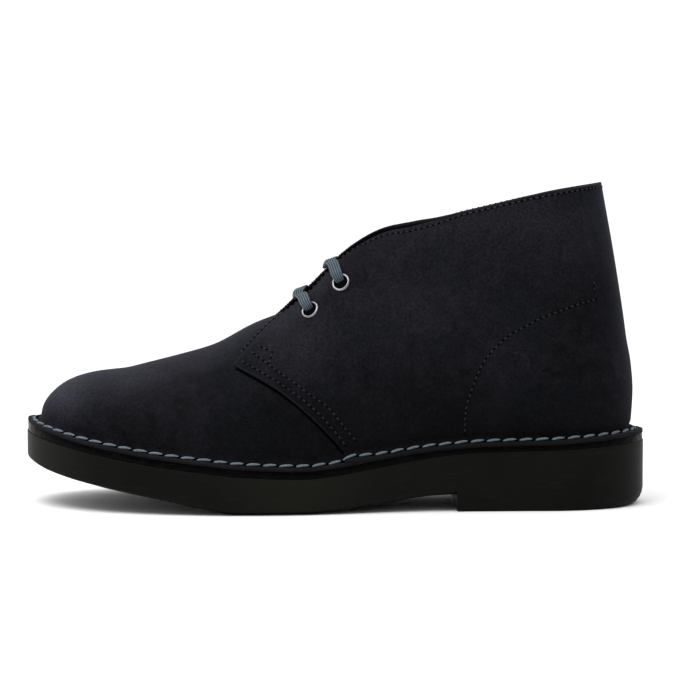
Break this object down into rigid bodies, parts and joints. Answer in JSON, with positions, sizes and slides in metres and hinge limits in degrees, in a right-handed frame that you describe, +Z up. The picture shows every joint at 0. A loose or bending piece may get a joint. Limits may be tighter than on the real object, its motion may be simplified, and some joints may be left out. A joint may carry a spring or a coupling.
{
  "type": "chukka boot",
  "caption": "Left ankle boot: hollow suede upper with a short laced throat and overlapping quarters, stitched down round the edge onto a rubber sole with a heel.",
  "frame": {"origin": "on the ground, under the middle of the sole's length and width", "axes": "toe at -X, heel at +X, lateral (outer) side at -Y, medial (inner) side at +Y, +Z up"},
  "size_m": [0.3, 0.1051, 0.1551],
  "materials": {
    "outsole_rubber": "satin black rubber",
    "midsole_rubber": "polished black edge",
    "insole_lining": "matt lining",
    "suede": "brushed dark navy suede",
    "eyelet_metal": "dark nickel",
    "lace_fabric": "woven slate blue"
  },
  "bodies": {
    "root": {"outsole": "outsole_rubber", "midsole": "midsole_rubber", "insole": "insole_lining", "upper": "suede", "tongue": "suede", "eyelet_lower_lateral": "eyelet_metal", "eyelet_lower_medial": "eyelet_metal", "eyelet_upper_lateral": "eyelet_metal", "eyelet_upper_medial": "eyelet_metal", "lace": "lace_fabric"}
  },
  "joints": []
}
